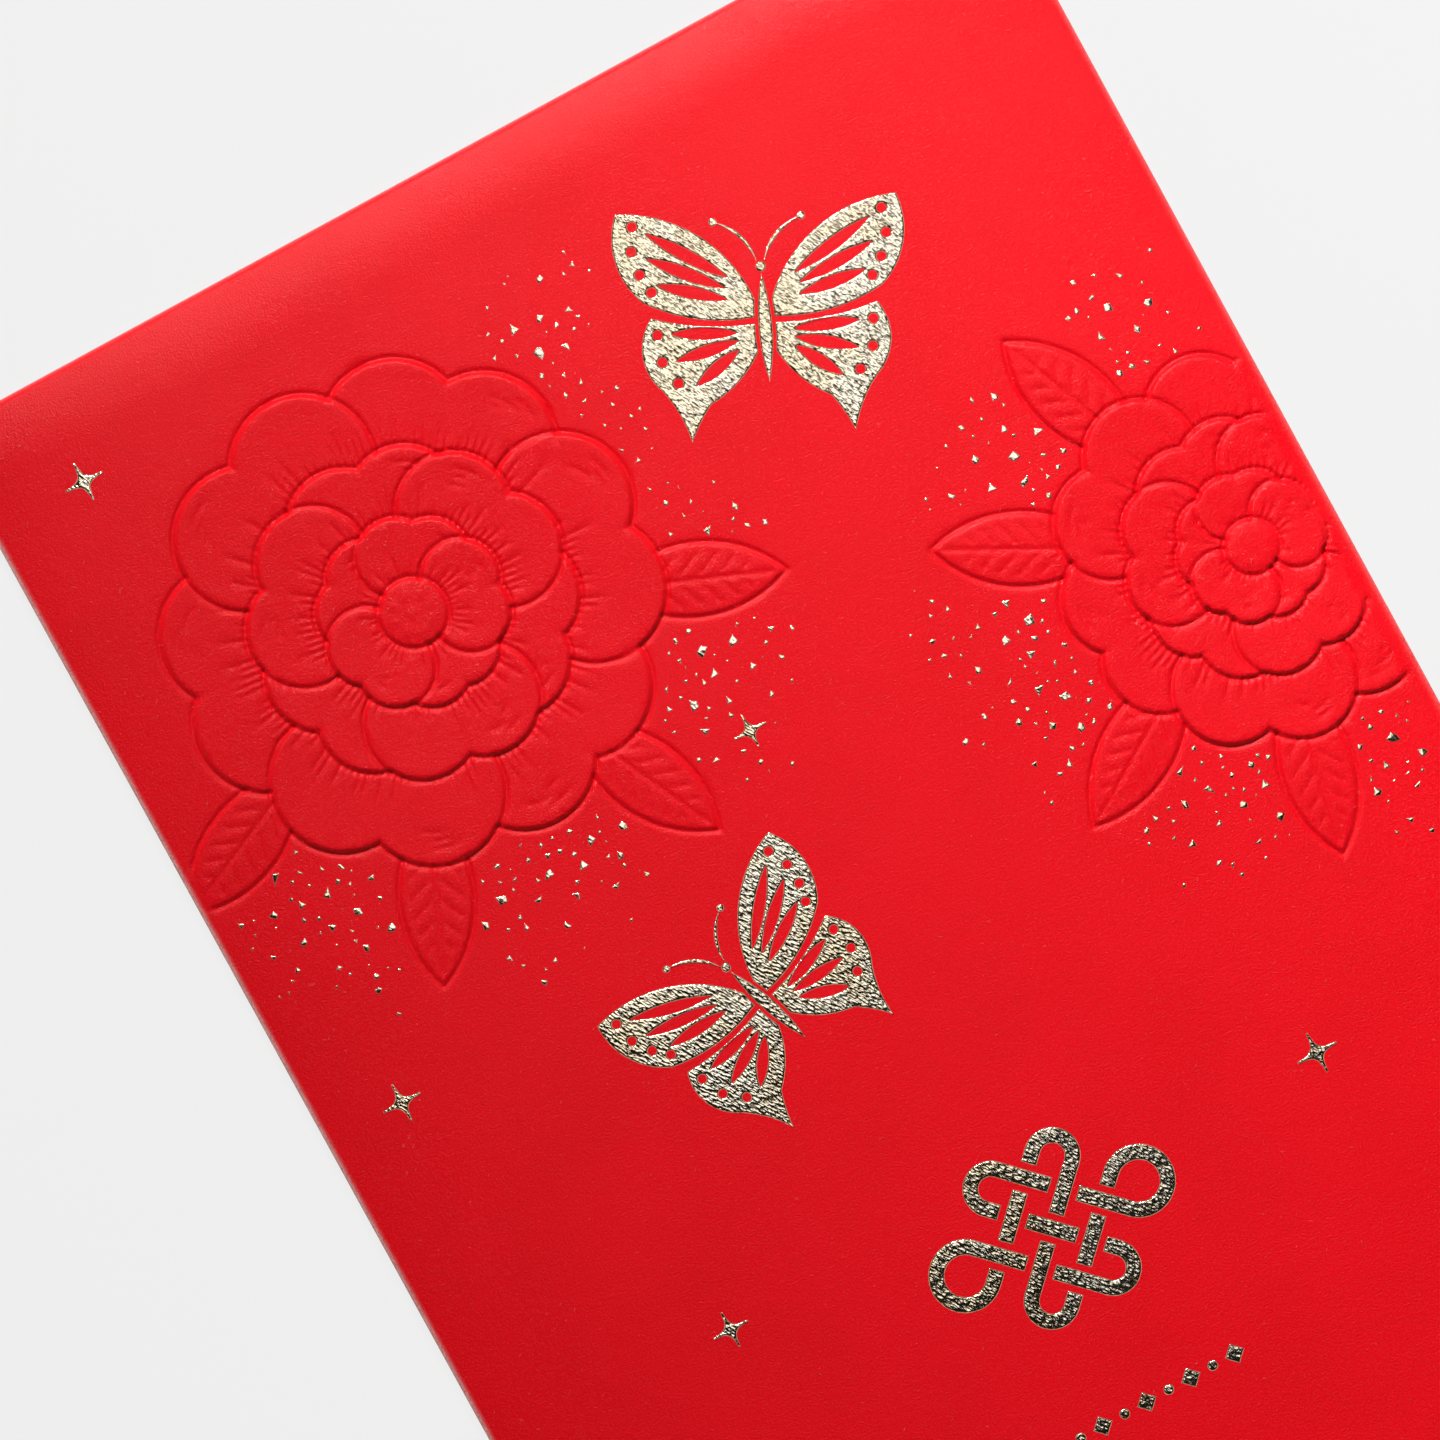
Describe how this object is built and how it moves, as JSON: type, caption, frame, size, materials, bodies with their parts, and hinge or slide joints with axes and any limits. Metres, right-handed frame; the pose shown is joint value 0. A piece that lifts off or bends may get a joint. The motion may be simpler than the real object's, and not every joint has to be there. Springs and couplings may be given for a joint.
{
  "type": "red envelope",
  "caption": "Red paper gift envelope with an embossed, gold-foiled front, a soft rolled top edge and a hinged closing flap folded down behind its glued pocket.",
  "frame": {"origin": "centre of the envelope's back, on the surface that it lies on", "axes": "+X across the front to the right, +Y up the front to the top fold, +Z out of the embossed front face"},
  "size_m": [0.09, 0.17, 0.0025],
  "materials": {
    "red_paper": "matte soft-touch coated red paper, embossed",
    "gold_foil": "hot-stamped pale gold foil with a fine pebble grain",
    "glue": "dried white paper glue"
  },
  "bodies": {
    "pocket": {"front_panel": "red_paper", "back_panel": "red_paper", "seam_tab": "red_paper", "bottom_flap": "red_paper", "left_fold": "red_paper", "right_fold": "red_paper", "bottom_fold": "red_paper", "top_fold": "red_paper", "seam_glue": "glue", "bottom_glue": "glue", "foil_butterfly_upper": "gold_foil", "foil_butterfly_lower": "gold_foil", "foil_knot": "gold_foil", "foil_ornament_row": "gold_foil", "foil_sparkles": "gold_foil", "foil_dust": "gold_foil"},
    "flap": {"top_flap": "red_paper"}
  },
  "joints": [
    {"name": "flap_hinge", "type": "hinge", "parent": "pocket", "child": "flap", "pos_m": [0, 0.08427, 0.00073], "axis": [1, 0, 0], "range_deg": [0, 180], "deforming": ["top_fold"]}
  ]
}
